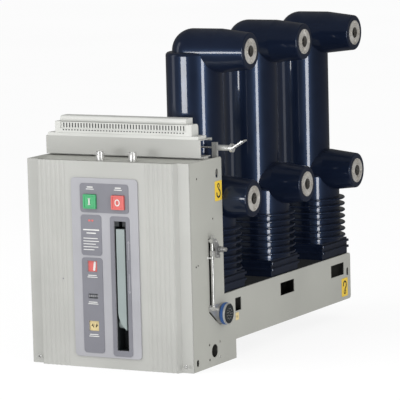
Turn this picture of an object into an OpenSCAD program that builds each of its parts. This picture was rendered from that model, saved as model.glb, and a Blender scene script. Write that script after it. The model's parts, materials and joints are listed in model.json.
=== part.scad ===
// Indoor vacuum circuit breaker, fixed type: a spring mechanism in a housing at
// the front, and three embedded poles standing in a row on the chassis behind it.
// Frame: +X is the way the terminals point, -Y is the operator's side and +Z is up.
// The origin is the centre of the mounting hole pattern, on the underside of the
// chassis and below the middle pole. All lengths are in millimetres.

/* [Chassis] */
// Distance between neighbouring poles
phase_pitch = 275; // [230:1:350]
// From the outer poles' base lips to the ends of the chassis
chassis_margin = 1; // [1:1:10]
// Width of the chassis
chassis_w = 174; // [170:1:220]
// Height of the chassis
chassis_h = 113; // [90:1:150]
// Sheet thickness of the chassis
chassis_t = 3; // [2:0.5:5]
// Width of the chassis' bottom flanges
flange_w = 30; // [20:1:38]
// Width of the windows in the chassis' sides
window_w = 73; // [50:1:90]
// Height of the windows in the chassis' sides
window_h = 30; // [20:1:40]
// From the top of the chassis down to the windows' middle
window_drop = 34; // [28:1:50]
// Width of each mounting bar
bar_w = 60; // [40:1:70]
// Thickness of each mounting bar
bar_t = 8; // [6:1:12]
// Mounting holes: distance across the chassis
mount_dx = 80; // [60:1:90]
// Mounting holes: diameter
mount_hole_d = 13; // [9:0.5:16]

/* [Poles] */
// Diameter of the pole's column
pole_d = 130; // [105:1:156]
// From the pole's axis to the faces of its terminals
terminal_reach = 145; // [125:1:180]
// Height of the lower terminal's axis above the chassis
lower_terminal_h = 214; // [200:1:260]
// Distance between the two terminals of a pole
terminal_pitch = 334; // [260:1:420]
// Diameter of a terminal arm at the column
arm_root_d = 100; // [86:1:108]
// Wall of a terminal arm round its contact
contact_wall = 13; // [7:0.5:15]
// How far the lower body bulges towards the terminals
lower_bulge = 24; // [10:1:24]
// Number of sheds round the foot of a pole
shed_count = 7; // [3:1:8]
// Distance between neighbouring sheds
shed_pitch = 15.4; // [13:0.1:18]
// Thickness of a shed's rim
shed_t = 5; // [3:0.5:7]
// How far a shed stands out of the body
shed_out = 13; // [8:1:16]
// Height of the base block under the sheds
base_h = 39; // [30:1:50]
// Thickness of the base block's two lips
lip_t = 5; // [3:0.5:8]
// How far the lips stand out of the base block
lip_out = 6.5; // [2:0.5:6.5]
// Diameter of the contact face set in a terminal
contact_d = 58; // [54:1:66]
// Depth of the contact pieces
contact_t = 20; // [16:1:30]
// Diameter of the round recess in the middle of a contact face
contact_bore_d = 26; // [20:1:30]
// Depth of that recess
contact_bore_depth = 8; // [5:1:12]
// Threaded hole in the floor of the recess
contact_hole_d = 16; // [10:1:18]
// Number of shallow recesses round the contact face
recess_count = 4; // [2:1:4]

/* [Housing] */
// Width of the mechanism housing
housing_w = 416; // [380:1:500]
// Height of the mechanism housing
housing_h = 470; // [450:1:570]
// Depth of the mechanism housing, from its front flanges to its rear wall
housing_d = 120; // [100:1:125]
// Depth of the side plates beside the chassis
wing_d = 208; // [195:1:240]
// Gap between the housing's rear wall and the first pole's sheds
pole_gap = 7; // [7:1:40]
// Gap between the wiring duct and the first pole's column
duct_gap = 11; // [11:1:40]
// How far the housing reaches below the chassis
housing_drop = 43; // [20:1:60]
// Thickness of the side plates
plate_t = 2; // [1.5:0.5:3]
// Thickness of the cover and the inner walls
wall_t = 3; // [2:0.5:4]
// How far the cover's middle stands proud of its flanges
cover_out = 12; // [6:1:20]
// Width of the cover's flanges
cover_flange_w = 34; // [24:1:40]
// Distance between the flutes of the cover
flute_pitch = 12; // [10:1:14]

/* [Operator panel] */
// Width of the panel
fascia_w = 171; // [160:1:190]
// Height of the panel
fascia_h = 407; // [395:1:430]
// Thickness of the panel
fascia_t = 3; // [2:0.5:4]
// Thickness of the raised fields on the panel
field_t = 1; // [0.8:0.1:2]
// Side of the square push buttons
button_w = 32; // [26:1:34]
// Stroke of the push buttons
button_stroke = 4; // [3:0.5:5]
// Gap round the push buttons
button_gap = 0.6; // [0.3:0.1:1]
// Width of the charging lever
lever_w = 21; // [16:1:23]
// Length of the charging lever's grip
lever_l = 229; // [180:1:232]
// Thickness of the charging lever's grip
lever_t = 10; // [8:0.5:12]
// Gap beside the charging lever
lever_gap = 5; // [3:0.5:6]
// Diameter of the pin on which the charging lever turns
lever_pin_d = 8; // [6:0.5:10]
// Running clearance on the radius of that pin
pin_clearance = 0.05; // [0.02:0.01:0.1]

/* [Wiring duct and terminal strip] */
// From the front flanges to the wiring duct
duct_setback = 73; // [60:1:74]
// Length of the wiring duct
duct_l = 400; // [360:1:412]
// Depth of the wiring duct
duct_d = 56; // [44:1:68]
// Height of the wiring duct
duct_h = 45; // [38:1:60]
// Length of the terminal strip
strip_l = 326; // [280:1:340]
// Depth of the terminal strip
strip_d = 32; // [27:1:44]
// Height of the terminal strip
strip_h = 46; // [40:1:60]
// Number of wire ways along the terminal strip
way_count = 42; // [30:1:42]

/* [Side linkage] */
// Diameter of the link rod
rod_d = 7; // [5:0.5:8]
// Length of the link rod between its joints
rod_l = 154; // [140:1:165]
// Diameter of the auxiliary connector
connector_d = 42; // [36:1:46]
// How far the auxiliary connector stands out
connector_out = 22; // [20:1:42]
// Diameter of the interlock shaft
interlock_d = 13; // [10:0.5:15]
// Length of the interlock shaft
interlock_l = 34; // [28:1:50]

/* [Hidden] */
$fn = 64;

// Small overlap that keeps cuts clean
eps = 0.01;
// Gap between pieces that sit beside each other without touching
seat_gap = 0.2;

// Poles
body_r = pole_d / 2;
shoulder_r = 8;
column_top = lower_terminal_h + terminal_pitch - 2;
lower_body_top = lower_terminal_h - 8;
arm_tip_d = contact_d + 2 * contact_wall;
arm_blend = 40;
arm_rim_r = 3;
contact_proud = 1;
recess_land = 2;
recess_d = (contact_d - contact_bore_d) / 2 - 2 * recess_land;
recess_depth = 1.5;
recess_pcd = (contact_d + contact_bore_d) / 2;
shed_z0 = base_h + 12;
base_gap = 0.5;
base_right = chassis_w / 2 - lip_out - base_gap;
base_left = base_right - 10;
base_w = pole_d + 10;
lip_side = 2;
lip_low = 22;
lip_high = 7;
lip_r = 6;

// Chassis
chassis_overhang = base_w / 2 + lip_side + chassis_margin;
chassis_l = 2 * (phase_pitch + chassis_overhang);
deck_t = chassis_t;
deck_bottom = chassis_h - deck_t;
flange_inner_x = chassis_w / 2 - flange_w;
inner_chassis_w = chassis_w - 2 * chassis_t;
chassis_corner_r = 8;
end_inset = 8;
mount_dy = chassis_l - 2 * bar_w;
window_z = chassis_h - window_drop;
chassis_slot_y = chassis_l / 2 - 17;
chassis_slot_z = chassis_h - 45;
slot_w = 11;
slot_h = 20;

// Housing, seen in its own frame: x from its middle, y back from its front flanges
housing_x = chassis_w / 2 + plate_t - housing_w / 2;
pole_setback = body_r + max(housing_d + pole_gap + shed_out, duct_setback + duct_d + duct_gap);
front_y = -phase_pitch - pole_setback;
plate_clearance = 1;
plate_shed_x = max(0, chassis_w / 2 - lower_bulge);
shed_half_w = sqrt(max(0, pow(body_r + shed_out, 2) - pow(plate_shed_x, 2)));
arm_taper_x = arm_blend + body_r / 2;
arm_taper_l = terminal_reach - contact_proud - arm_rim_r - arm_taper_x;
plate_arm_x = max(0, chassis_w / 2 - arm_taper_x);
arm_half_w = arm_root_d / 2 - (arm_root_d - arm_tip_d) / 2 * plate_arm_x / arm_taper_l;
side_d = pole_setback - max(arm_half_w, shed_half_w) - plate_clearance;
cover_face_w = housing_w - 2 * cover_flange_w;
cover_bevel = 6;
flute_r = 9;
flute_depth = 1.5;
flute_count = 6;
flute_margin = 6;
inner_w = housing_w - 2 * plate_t;
wing_top = housing_drop + chassis_h;
plate_corner_r = 7;
cover_seam = 1;
lift_slot_in = 23;
lift_slot_drop = 36;
small_hole_d = 5;
small_holes = [[37, housing_h - 38], [109, housing_h - 136], [34, housing_h / 2 + 3]];
foot_slot_y = 22;
foot_slot_z = 19;
foot_slot_h = slot_h - 4;
cable_hole_y = 104;
cable_hole_z = 34;
cable_hole_d = 30;
gland_dy = 50;
gland_dz = 34;
gland_hole_d = 6;

// Operator panel: x from the housing's middle, z up from the housing's foot
fascia_x = -0.5;
fascia_z = housing_h / 2 - 6;
fascia_r = 9;
fascia_lap = 10;
face_out = cover_out + fascia_t + field_t;
field_r = 7;
left_fields_x = -36;
left_fields_w = 53;
button_field_z = fascia_z + 158.5;
button_field_h = 66;
button_field_w = 125;
button_row_z = fascia_z + 150.5;
close_button_x = -36.5;
open_button_x = 36;
button_r = 2;
button_rest = 1;
button_out = button_stroke + button_rest;
button_rim = 3;
button_sink = 1.5;
button_collar = 3;
text_field_z = fascia_z + 74;
text_field_h = 92;
indicator_field_z = fascia_z - 86;
indicator_field_h = 217;
position_z = fascia_z + 3;
position_w = 25;
counter_z = fascia_z - 65;
counter_h = 11;
spring_z = fascia_z - 133;
spring_h = 23;
spring_w = 26;
lever_x = 38;
lever_field_w = 50;
lever_field_h = 318;
lever_slot_w = lever_w + 2 * lever_gap;
lever_slot_h = 294;
lever_slot_z = fascia_z - 39;
lever_field_z = lever_slot_z - 1;
lever_slot_top = lever_slot_z + lever_slot_h / 2;
lever_top = lever_slot_top - 18;
lever_foot = lever_top - lever_l;
lever_sunk = 1;
lever_cut_h = 42;
lever_cut_r = (lever_w * lever_w + lever_cut_h * lever_cut_h) / (2 * lever_w);
lever_web_w = lever_w - 4;
lever_web_h = 78;
lever_hub_r = 11;
lever_pivot_z = lever_foot + 12;
lever_pivot_back = 6;
lever_hub_gap = 0.4;
tray_t = 2;
tray_d = lever_pivot_back + lever_hub_r + lever_gap + cover_out;
cheek_gap = 9;
cheek_h = 12;

// Wiring duct and terminal strip
duct_t = 2;
duct_front = duct_setback;
duct_lip = 6;
duct_lift = 4;
duct_foot_in = 16;
duct_foot_w = 20;
base_rail_h = 7;
base_rail_l = strip_l + 64;
base_rail_d = strip_d + 6;
strip_front = duct_front + 3;
end_stop_w = 14;
cover_bar_h = 14;
way_pitch = strip_l / (way_count + 1);
way_depth = 6;
strip_step = 3;
end_stop_h = 26;
end_stop_r = 9;

// Interlock and linkage
post_d = 12;
post_h = 21;
post_head_h = 10;
post_xs = [-24, 60];
post_setback = 13;
bracket_w = 13;
bracket_h = 73;
bracket_gap = 14;
bracket_y = duct_front + duct_d + bracket_gap;
bracket_top = housing_h + 33;
shaft_z = housing_h + 21;
thin_rod_d = 4;
thin_rod_l = 58;
collar_t = 6;
blade_l = 34;
blade_t = 3;
blade_w = 22;
blade_angle = 32;
connector_flange_t = 4;
rod_y = 86;
rod_foot = 133;
opening_front = rod_y - 1;
opening_w = 13;
opening_bottom = rod_foot - 9;
opening_h = rod_l + 13;
rod_out = connector_flange_t + rod_d / 2 + 0.5;
rod_top = rod_foot + rod_l;
crank_y = rod_y + 14;
crank_z = rod_top - 20;
crank_t = 4;
crank_r = 8;
crank_hub_d = 9;
crank_hub_out = 37;
crank_ring_t = 2;
crank_rings = [20, 25.5];
crank_washer_t = 3;
crank_tail = [-5, -14];
crank_tail_r = 5;
crank_bolt_d = 9;
crank_bolt_h = 5;
link_pin_d = 6;
link_pin_out = 21;
rod_boss = 5;
connector_y = 136;
connector_z = 115;
groove_w = 4.5;
groove_in = 2;
connector_flange_r = connector_d / 2 + 2;
connector_ear_r = 8;
shell_d = connector_d - 3;
shell_wall = 1.5;
rim_w = 2.5;
insert_sunk = 0.5;
insert_d = shell_d - 2 * shell_wall;
contact_pin_d = 2.5;
contact_pin_h = 1;
contact_pin_pcd = 22;
contact_pin_count = 8;

// --- Shared shapes ---------------------------------------------------------------

// Rectangle with round corners, centred on the origin
module rounded_rect(w, h, r) {
    square([w - 2 * r, h], center = true);
    square([w, h - 2 * r], center = true);
    for (x = [-1, 1], y = [-1, 1])
        translate([x * (w / 2 - r), y * (h / 2 - r)]) circle(r);
}

// Upright slot with round ends, centred on the origin
module slot_2d(w, h) {
    square([w, h - w], center = true);
    for (y = [-1, 1]) translate([0, y * (h - w) / 2]) circle(d = w);
}

// Outline round a big circle on the origin and a small one at a distance
module teardrop_2d(big_r, small_r, dist) {
    hull() {
        circle(big_r);
        translate([dist, 0]) circle(small_r);
    }
}

// A flat shape drawn in the housing's front view, extruded forwards from a depth
module on_front(out, t) {
    translate([housing_x, front_y - out, -housing_drop])
        rotate([90, 0, 0]) linear_extrude(t) children();
}

// A flat shape drawn in a side view (y back, z up), extruded along +X from x
module on_side(x, t) {
    translate([x, front_y, -housing_drop])
        rotate([90, 0, 90]) linear_extrude(t) children();
}

// A box of the housing, from its own x, y and z ranges
module housing_box(x, y, z) {
    translate([housing_x + x[0], front_y + y[0], z[0] - housing_drop])
        cube([x[1] - x[0], y[1] - y[0], z[1] - z[0]]);
}

function pole_y(i) = (i - 2) * phase_pitch;

// --- Chassis ---------------------------------------------------------------------

// One bent side sheet: the web with round far corners, its bottom flange, the
// windows and the lifting slot
module chassis_side(side) {
    web_x = side * (chassis_w / 2 - chassis_t / 2);
    flange_x = side * (chassis_w / 2 - flange_w / 2);
    web_l = chassis_l - chassis_t;
    r = chassis_corner_r;
    color([0.66, 0.65, 0.61]) union() {
        translate([web_x, -chassis_l / 2 + chassis_t, 0]) rotate([90, 0, 90])
            linear_extrude(chassis_t, center = true) difference() {
                union() {
                    square([web_l - r, chassis_h]);
                    translate([0, r]) square([web_l, chassis_h - 2 * r]);
                    for (z = [r, chassis_h - r]) translate([web_l - r, z]) circle(r);
                }
                for (i = [1:3])
                    translate([chassis_l / 2 - chassis_t + pole_y(i), window_z])
                        square([window_w, window_h], center = true);
                translate([chassis_l / 2 - chassis_t + chassis_slot_y, chassis_slot_z])
                    slot_2d(slot_w, slot_h);
            }
        translate([flange_x, -end_inset / 2, chassis_t / 2])
            cube([flange_w, chassis_l - 2 * chassis_t - end_inset, chassis_t], center = true);
    }
}
module chassis_side_right() { chassis_side(1); }
module chassis_side_left() { chassis_side(-1); }

// Deck between the two side sheets
module chassis_deck() {
    color([0.40, 0.40, 0.39])
        translate([0, (chassis_t - end_inset) / 2, chassis_h - deck_t / 2])
            cube([inner_chassis_w, chassis_l - chassis_t - end_inset, deck_t], center = true);
}

// End sheet between the side sheets, under the deck
module chassis_end_plate() {
    color([0.66, 0.65, 0.61])
        translate([0, chassis_l / 2 - end_inset - chassis_t / 2, deck_bottom / 2])
            cube([inner_chassis_w, chassis_t, deck_bottom], center = true);
}

// Spacer plate that carries the housing's rear wall on the end of the chassis
module chassis_front_plate() {
    gap = pole_setback - chassis_overhang - housing_d;
    color([0.66, 0.65, 0.61])
        translate([0, -chassis_l / 2 + (chassis_t - gap) / 2, chassis_h / 2])
            cube([chassis_w - 2 * seat_gap, gap + chassis_t, chassis_h], center = true);
}

// Three bars across the chassis, level with the underside of its flanges
module mounting_bars() {
    color([0.62, 0.62, 0.6])
        for (j = [-1:1])
            translate([0, j * mount_dy / 2, 0]) difference() {
                translate([0, 0, bar_t / 2])
                    cube([2 * flange_inner_x, bar_w, bar_t], center = true);
                if (j != 0)
                    for (x = [-1, 1])
                        translate([x * mount_dx / 2, 0, -eps])
                            cylinder(h = bar_t + 2 * eps, d = mount_hole_d);
            }
}

// --- Poles -----------------------------------------------------------------------

// Footprint of the lower body: a round column widened towards the terminals
module lower_section(grow) {
    r = body_r + grow;
    circle(r);
    translate([lower_bulge, 0]) circle(r);
    translate([0, -r]) square([lower_bulge, 2 * r]);
}

// Round column with a rounded top edge, standing on the origin
module column(r, h) {
    rotate_extrude() {
        square([r - shoulder_r, h]);
        square([r, h - shoulder_r]);
        translate([r - shoulder_r, h - shoulder_r]) circle(shoulder_r);
    }
}

// One shed: a thin collar with a round rim
module shed() {
    rim = shed_t / 2;
    for (x = [0, lower_bulge])
        translate([x, 0, 0]) rotate_extrude() {
            translate([0, -rim]) square([body_r + shed_out - rim, shed_t]);
            translate([body_r + shed_out - rim, 0]) circle(rim);
        }
    translate([0, 0, -rim]) linear_extrude(shed_t) lower_section(shed_out - rim);
}

// One arm: a tapering tube from the column to the terminal face
module arm() {
    face = terminal_reach - contact_proud;
    rotate([0, 90, 0]) rotate_extrude() {
        polygon([[0, 0], [arm_root_d / 2, 0], [arm_root_d / 2, arm_taper_x],
                 [arm_tip_d / 2, face - arm_rim_r], [arm_tip_d / 2 - arm_rim_r, face], [0, face]]);
        translate([arm_tip_d / 2 - arm_rim_r, face - arm_rim_r]) circle(arm_rim_r);
    }
}

// Seat of a contact, cut into the end of an arm
module contact_seat() {
    translate([terminal_reach - contact_t, 0, 0]) rotate([0, 90, 0])
        cylinder(h = contact_t + eps, d = contact_d);
}

// A lip round the base block
module base_lip(z) {
    translate([(base_right - base_left) / 2, 0, z])
        linear_extrude(lip_t)
            rounded_rect(base_left + base_right + 2 * lip_out, base_w + 2 * lip_side, lip_r);
}

// The whole epoxy casting of pole i
module pole(i) {
    color([0.07, 0.08, 0.13]) translate([0, pole_y(i), chassis_h])
        difference() {
            union() {
                column(body_r, column_top);
                translate([0, 0, base_h - eps]) {
                    for (x = [0, lower_bulge])
                        translate([x, 0, 0]) column(body_r, lower_body_top - base_h);
                    linear_extrude(lower_body_top - base_h - shoulder_r) lower_section(0);
                    linear_extrude(lower_body_top - base_h) lower_section(-shoulder_r);
                }
                for (k = [0:shed_count - 1])
                    translate([0, 0, shed_z0 + k * shed_pitch]) shed();
                translate([-base_left, -base_w / 2, 0])
                    cube([base_left + base_right, base_w, base_h]);
                base_lip(base_h - lip_low - lip_t / 2);
                base_lip(base_h - lip_high - lip_t / 2);
                for (z = [lower_terminal_h, lower_terminal_h + terminal_pitch])
                    translate([0, 0, z]) arm();
                translate([0, 0, lower_terminal_h + terminal_pitch]) sphere(d = arm_root_d);
                translate([lower_bulge, 0, lower_terminal_h]) sphere(d = arm_root_d);
            }
            for (z = [lower_terminal_h, lower_terminal_h + terminal_pitch])
                translate([0, 0, z]) contact_seat();
        }
}
module pole_1() { pole(1); }
module pole_2() { pole(2); }
module pole_3() { pole(3); }

// One contact piece: a ring face, a round recess, a threaded hole and small recesses
module contact() {
    floor_t = contact_t - contact_bore_depth;
    translate([terminal_reach - contact_t, 0, 0]) rotate([0, 90, 0]) difference() {
        cylinder(h = contact_t, d = contact_d);
        translate([0, 0, -eps]) cylinder(h = contact_t, d = contact_hole_d);
        translate([0, 0, floor_t]) cylinder(h = contact_t, d = contact_bore_d);
        for (k = [0:recess_count - 1])
            rotate(k * 360 / recess_count) translate([recess_pcd / 2, 0, contact_t - recess_depth])
                cylinder(h = contact_t, d = recess_d);
    }
}

// Both contacts of pole i
module contacts(i) {
    color([0.75, 0.74, 0.70])
        for (z = [lower_terminal_h, lower_terminal_h + terminal_pitch])
            translate([0, pole_y(i), chassis_h + z]) contact();
}
module contacts_1() { contacts(1); }
module contacts_2() { contacts(2); }
module contacts_3() { contacts(3); }

// --- Housing ---------------------------------------------------------------------

// Outline of a side plate: deep beside the chassis, shallower above it
module side_outline() {
    r = plate_corner_r;
    front = wall_t + cover_seam;
    difference() {
        union() {
            translate([front, 0]) square([wing_d - front, wing_top]);
            translate([front, 0]) square([side_d - front, housing_h - r]);
            translate([front, 0]) square([side_d - front - r, housing_h]);
            translate([side_d - r, housing_h - r]) circle(r);
        }
        translate([side_d - lift_slot_in, housing_h - lift_slot_drop])
            slot_2d(slot_w + 1, slot_h + 1);
        for (p = small_holes) translate(p) circle(d = small_hole_d);
        translate([foot_slot_y, foot_slot_z]) slot_2d(slot_w, foot_slot_h);
        translate([cable_hole_y, cable_hole_z]) circle(d = cable_hole_d);
        for (y = [-1, 1], z = [-1, 1])
            translate([cable_hole_y + y * gland_dy / 2, cable_hole_z + z * gland_dz / 2])
                circle(d = gland_hole_d);
    }
}

// Cut-out for the linkage: a tall slot, and a groove from its foot round the
// lower edge of the connector's flange
module linkage_opening() {
    dy = connector_y - rod_y;
    dz = connector_z - rod_foot;
    reach = sqrt(dy * dy + dz * dz);
    lean = asin((connector_flange_r - connector_ear_r) / reach);
    groove_r = connector_flange_r - groove_in;
    translate([opening_front, opening_bottom]) square([opening_w, opening_h]);
    translate([rod_y, rod_foot]) rotate(atan2(dz, dy) - lean)
        translate([0, groove_in - groove_w - connector_ear_r])
            square([reach * cos(lean), groove_w]);
    translate([connector_y, connector_z]) intersection() {
        difference() {
            circle(groove_r + groove_w);
            circle(groove_r);
        }
        translate([-0.6 * groove_r, -groove_r - groove_w]) square([0.75 * groove_r, groove_r / 2]);
    }
}

module side_plate_right() {
    color([0.66, 0.65, 0.61])
        on_side(housing_x + housing_w / 2 - plate_t, plate_t) difference() {
            side_outline();
            linkage_opening();
        }
}
module side_plate_left() {
    color([0.66, 0.65, 0.61])
        on_side(housing_x - housing_w / 2, plate_t) side_outline();
}

module housing_roof() {
    color([0.52, 0.52, 0.5])
        housing_box([-inner_w / 2, inner_w / 2], [wall_t, housing_d],
                    [housing_h - wall_t, housing_h]);
}
module housing_floor() {
    color([0.6, 0.59, 0.56])
        housing_box([-inner_w / 2, inner_w / 2], [wall_t, housing_d], [0, wall_t]);
}
module housing_rear_wall() {
    color([0.6, 0.59, 0.56])
        housing_box([-inner_w / 2, inner_w / 2], [housing_d - wall_t, housing_d],
                    [wall_t, housing_h - wall_t]);
}

// Outline of the cover seen from above, before the wall is hollowed out
module cover_profile(out, w) {
    polygon([[-housing_w / 2, 0], [-w / 2 - cover_bevel, 0], [-w / 2, -out],
             [w / 2, -out], [w / 2 + cover_bevel, 0], [housing_w / 2, 0],
             [housing_w / 2, wall_t], [-housing_w / 2, wall_t]]);
}

module front_cover() {
    first_flute = cover_face_w / 2 - flute_margin;
    color([0.80, 0.79, 0.77]) difference() {
        translate([housing_x, front_y, -housing_drop]) linear_extrude(housing_h) difference() {
            cover_profile(cover_out, cover_face_w);
            translate([0, wall_t])
                polygon([[-cover_face_w / 2 - cover_bevel, eps], [-cover_face_w / 2, -cover_out],
                         [cover_face_w / 2, -cover_out], [cover_face_w / 2 + cover_bevel, eps]]);
            for (side = [-1, 1], k = [0:flute_count - 1])
                translate([side * (first_flute - k * flute_pitch),
                           -cover_out - flute_r + flute_depth]) circle(flute_r);
        }
        on_front(0, cover_out + eps) translate([fascia_x, fascia_z])
            square([fascia_w - 2 * fascia_lap, fascia_h - 2 * fascia_lap], center = true);
    }
}

// --- Operator panel --------------------------------------------------------------

// Every opening through the panel, drawn in the housing's front view
module panel_openings() {
    hole = button_w + 2 * button_gap;
    for (x = [close_button_x, open_button_x])
        translate([x, button_row_z]) square([hole, hole], center = true);
    translate([left_fields_x, position_z]) square([position_w, position_w], center = true);
    translate([left_fields_x, counter_z]) square([position_w, counter_h], center = true);
    translate([left_fields_x, spring_z]) square([spring_w, spring_h], center = true);
    translate([lever_x, lever_slot_z]) square([lever_slot_w, lever_slot_h], center = true);
}

module fascia_plate() {
    color([0.70, 0.70, 0.73])
        on_front(cover_out, fascia_t) difference() {
            translate([fascia_x, fascia_z]) rounded_rect(fascia_w, fascia_h, fascia_r);
            panel_openings();
        }
}

// A raised field of the panel
module field(x, z, w, h) {
    color([0.56, 0.56, 0.60])
        on_front(cover_out + fascia_t, field_t) difference() {
            translate([x, z]) rounded_rect(w, h, field_r);
            panel_openings();
        }
}
module button_field() {
    field((close_button_x + open_button_x) / 2, button_field_z, button_field_w, button_field_h);
}
module text_field() { field(left_fields_x, text_field_z, left_fields_w, text_field_h); }
module indicator_field() {
    field(left_fields_x, indicator_field_z, left_fields_w, indicator_field_h);
}
module lever_field() { field(lever_x, lever_field_z, lever_field_w, lever_field_h); }

// Push button: a cap with a raised rim, and a flange that holds it behind the panel
module button(x) {
    back = cover_out - 2 * fascia_t;
    front = face_out + button_out;
    difference() {
        on_front(back, front - back)
            translate([x, button_row_z]) rounded_rect(button_w, button_w, button_r);
        on_front(front - button_sink, button_sink + eps)
            translate([x, button_row_z])
                square([button_w - 2 * button_rim, button_w - 2 * button_rim], center = true);
    }
    on_front(back, 2 * fascia_t - seat_gap)
        translate([x, button_row_z])
            square([button_w + 2 * button_collar, button_w + 2 * button_collar], center = true);
}
module close_button() { color([0.25, 0.72, 0.42]) button(close_button_x); }
module open_button() { color([0.85, 0.30, 0.30]) button(open_button_x); }

// A flag, counter or pointer that sits behind its window in the panel
module indicator(z, w, h) {
    on_front(cover_out - 2 * fascia_t, 2 * fascia_t)
        translate([left_fields_x, z]) square([w + 4, h + 4], center = true);
}
module position_indicator() {
    color([0.82, 0.14, 0.12]) indicator(position_z, position_w, position_w);
}
module operation_counter() {
    color([0.06, 0.06, 0.06]) indicator(counter_z, position_w, counter_h);
}
module spring_indicator() {
    color([0.93, 0.83, 0.55]) indicator(spring_z, spring_w, spring_h);
}

// Black tray round the charging lever, open to the front, with two cheeks at its top
module lever_tray() {
    pivot = [lever_x, lever_pivot_z];
    cheek_w = (lever_slot_w - cheek_gap) / 2;
    color([0.05, 0.05, 0.055]) difference() {
        union() {
            on_front(cover_out - tray_d - tray_t, tray_d + tray_t) difference() {
                translate([lever_x, lever_slot_z])
                    square([lever_slot_w + 2 * tray_t, lever_slot_h + 2 * tray_t], center = true);
                translate([lever_x, lever_slot_z])
                    square([lever_slot_w, lever_slot_h], center = true);
            }
            on_front(cover_out - tray_d - tray_t, tray_t)
                translate([lever_x, lever_slot_z])
                    square([lever_slot_w + 2 * tray_t, lever_slot_h + 2 * tray_t], center = true);
            for (side = [-1, 1])
                on_front(0, cover_out)
                    translate([lever_x + side * (cheek_gap + cheek_w) / 2,
                               lever_slot_top - cheek_h / 2])
                        square([cheek_w, cheek_h], center = true);
        }
        translate([housing_x + pivot[0], front_y + lever_pivot_back, pivot[1] - housing_drop])
            rotate([0, 90, 0])
                cylinder(h = lever_slot_w + 4 * tray_t, d = lever_pin_d, center = true);
    }
}

// Axle of the charging lever, held in the tray's two side walls
module lever_pin() {
    color([0.75, 0.75, 0.76])
        translate([housing_x + lever_x, front_y + lever_pivot_back,
                   lever_pivot_z - housing_drop]) rotate([0, 90, 0])
            cylinder(h = lever_slot_w + 2 * tray_t, d = lever_pin_d, center = true);
}

// Grip of the lever in the front view: its lower end is rounded off to the right
module lever_grip_2d() {
    translate([lever_x, (lever_top + lever_foot + lever_cut_h) / 2])
        square([lever_w, lever_l - lever_cut_h], center = true);
    intersection() {
        translate([lever_x - lever_w / 2, lever_foot]) square([lever_w, lever_cut_h + eps]);
        translate([lever_x - lever_w / 2 + lever_cut_r, lever_foot + lever_cut_h])
            circle(lever_cut_r, $fn = 128);
    }
}

// Charging lever: the grip, a web behind it and the hub that turns on the pin
module charging_lever() {
    front = face_out - lever_sunk;
    hub_w = lever_slot_w - 2 * lever_hub_gap;
    color([0.62, 0.67, 0.65]) difference() {
        union() {
            on_front(front - lever_t, lever_t) lever_grip_2d();
            on_front(-lever_pivot_back, front + lever_pivot_back - lever_t + eps)
                translate([lever_x, lever_pivot_z + lever_web_h / 2])
                    square([lever_web_w, lever_web_h], center = true);
            translate([housing_x + lever_x, front_y + lever_pivot_back,
                       lever_pivot_z - housing_drop]) rotate([0, 90, 0])
                cylinder(h = hub_w, r = lever_hub_r, center = true);
        }
        translate([housing_x + lever_x, front_y + lever_pivot_back,
                   lever_pivot_z - housing_drop]) rotate([0, 90, 0])
            cylinder(h = hub_w + 2, r = lever_pin_d / 2 + pin_clearance, center = true);
    }
}

// --- Wiring duct and terminal strip ----------------------------------------------

// Bent sheet, open at both ends and along the lower part of its back
module wiring_duct() {
    color([0.74, 0.73, 0.70])
        on_side(housing_x - duct_l / 2, duct_l) translate([duct_front, housing_h]) {
            translate([0, duct_lift]) square([duct_t, duct_h - duct_lift]);
            translate([0, duct_lift]) square([housing_d - duct_front, duct_t]);
            translate([duct_foot_in, 0]) square([duct_foot_w, duct_lift + eps]);
            translate([0, duct_h - duct_t]) square([duct_d, duct_t]);
            translate([duct_d - duct_t, duct_h - duct_lip]) square([duct_t, duct_lip]);
        }
}

module terminal_base() {
    color([0.83, 0.83, 0.81])
        housing_box([-base_rail_l / 2, base_rail_l / 2], [duct_front, duct_front + base_rail_d],
                    [housing_h + duct_h, housing_h + duct_h + base_rail_h]);
}

// Row of small wire ways below, row of tall ways above, set back by a step
module terminal_strip() {
    foot = housing_h + duct_h + base_rail_h;
    body_h = strip_h - base_rail_h - cover_bar_h;
    low_h = body_h * 0.4;
    low_way = [way_pitch * 0.5, 2.6];
    tall_way = [way_pitch * 0.42, body_h * 0.42];
    color([0.80, 0.80, 0.78]) difference() {
        union() {
            housing_box([-strip_l / 2, strip_l / 2], [strip_front, strip_front + strip_d],
                        [foot, foot + low_h]);
            housing_box([-strip_l / 2, strip_l / 2], [strip_front + strip_step, strip_front + strip_d],
                        [foot + low_h - eps, foot + body_h]);
        }
        for (k = [1:way_count]) {
            x = -strip_l / 2 + k * way_pitch;
            housing_box([x - low_way[0] / 2, x + low_way[0] / 2],
                        [strip_front - eps, strip_front + way_depth],
                        [foot + low_h - 2 - low_way[1], foot + low_h - 2]);
            housing_box([x - tall_way[0] / 2, x + tall_way[0] / 2],
                        [strip_front - eps, strip_front + strip_step + way_depth],
                        [foot + low_h + 2, foot + low_h + 2 + tall_way[1]]);
        }
    }
}

// Rounded bar over the whole strip
module terminal_cover_bar() {
    foot = housing_h + duct_h + strip_h - cover_bar_h;
    r = cover_bar_h / 2;
    color([0.84, 0.84, 0.82])
        on_side(housing_x - strip_l / 2, strip_l) {
            translate([strip_front + r, foot]) square([strip_d - r, cover_bar_h]);
            translate([strip_front + r, foot + r]) circle(r);
        }
}

module terminal_end_stops() {
    foot = housing_h + duct_h + base_rail_h;
    r = end_stop_r;
    color([0.86, 0.86, 0.84])
        for (x = [-strip_l / 2 - end_stop_w, strip_l / 2])
            on_side(housing_x + x, end_stop_w) translate([strip_front, foot]) {
                square([strip_d, end_stop_h - r]);
                translate([0, end_stop_h - r - eps]) square([strip_d - r, r + eps]);
                translate([strip_d - r, end_stop_h - r]) circle(r);
            }
}

// --- Interlock -------------------------------------------------------------------

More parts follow.
